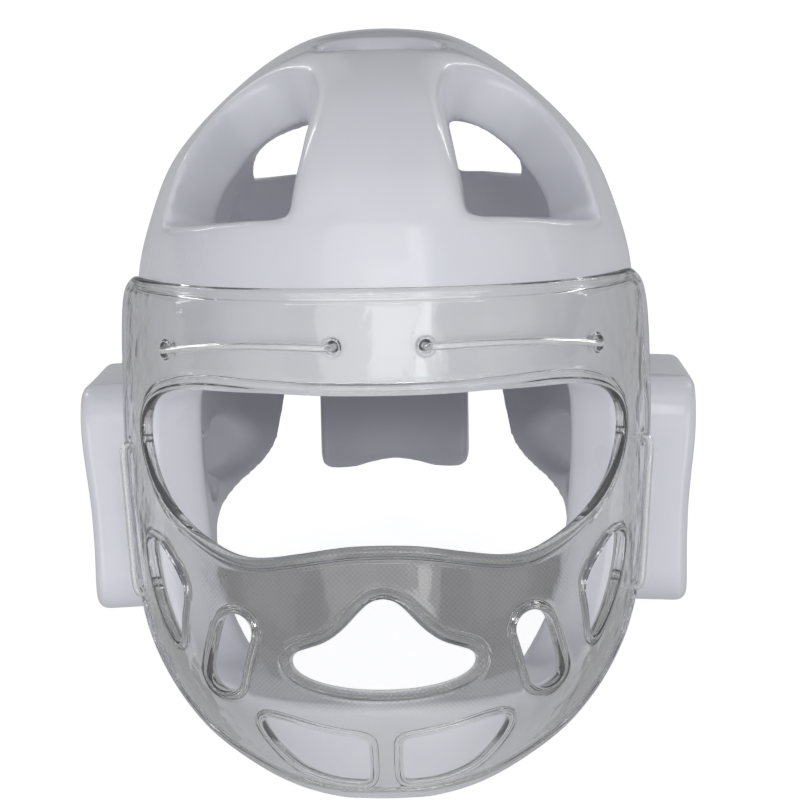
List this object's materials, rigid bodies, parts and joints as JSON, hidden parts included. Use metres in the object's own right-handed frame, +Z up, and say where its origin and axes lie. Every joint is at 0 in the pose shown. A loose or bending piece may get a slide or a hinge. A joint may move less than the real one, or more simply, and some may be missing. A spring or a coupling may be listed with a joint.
{
  "type": "martial arts headgear with face shield",
  "caption": "Dipped-foam sparring headgear with vents, padded ear pieces and a clear moulded face shield laced on, open for eyes, mouth and chin.",
  "frame": {"origin": "centre of the underside of the bounding box, on the surface that the chin and the ear pads stand on", "axes": "+Z up, the face looks along -Y and is leant back as the headgear rests, the wearer's left ear is at +X"},
  "size_m": [0.2308, 0.284, 0.2327],
  "materials": {
    "dipped_foam": "glossy white vinyl dip over closed-cell foam",
    "clear_shield": "clear, slightly smoky moulded plastic",
    "clear_cord": "clear plastic lacing"
  },
  "bodies": {
    "root": {"foam_shell": "dipped_foam", "ear_pad_right": "dipped_foam", "ear_pad_left": "dipped_foam", "face_shield": "clear_shield", "tie_forehead_right": "clear_cord", "tie_forehead_left": "clear_cord", "tie_side_right": "clear_cord", "tie_side_left": "clear_cord"}
  },
  "joints": []
}
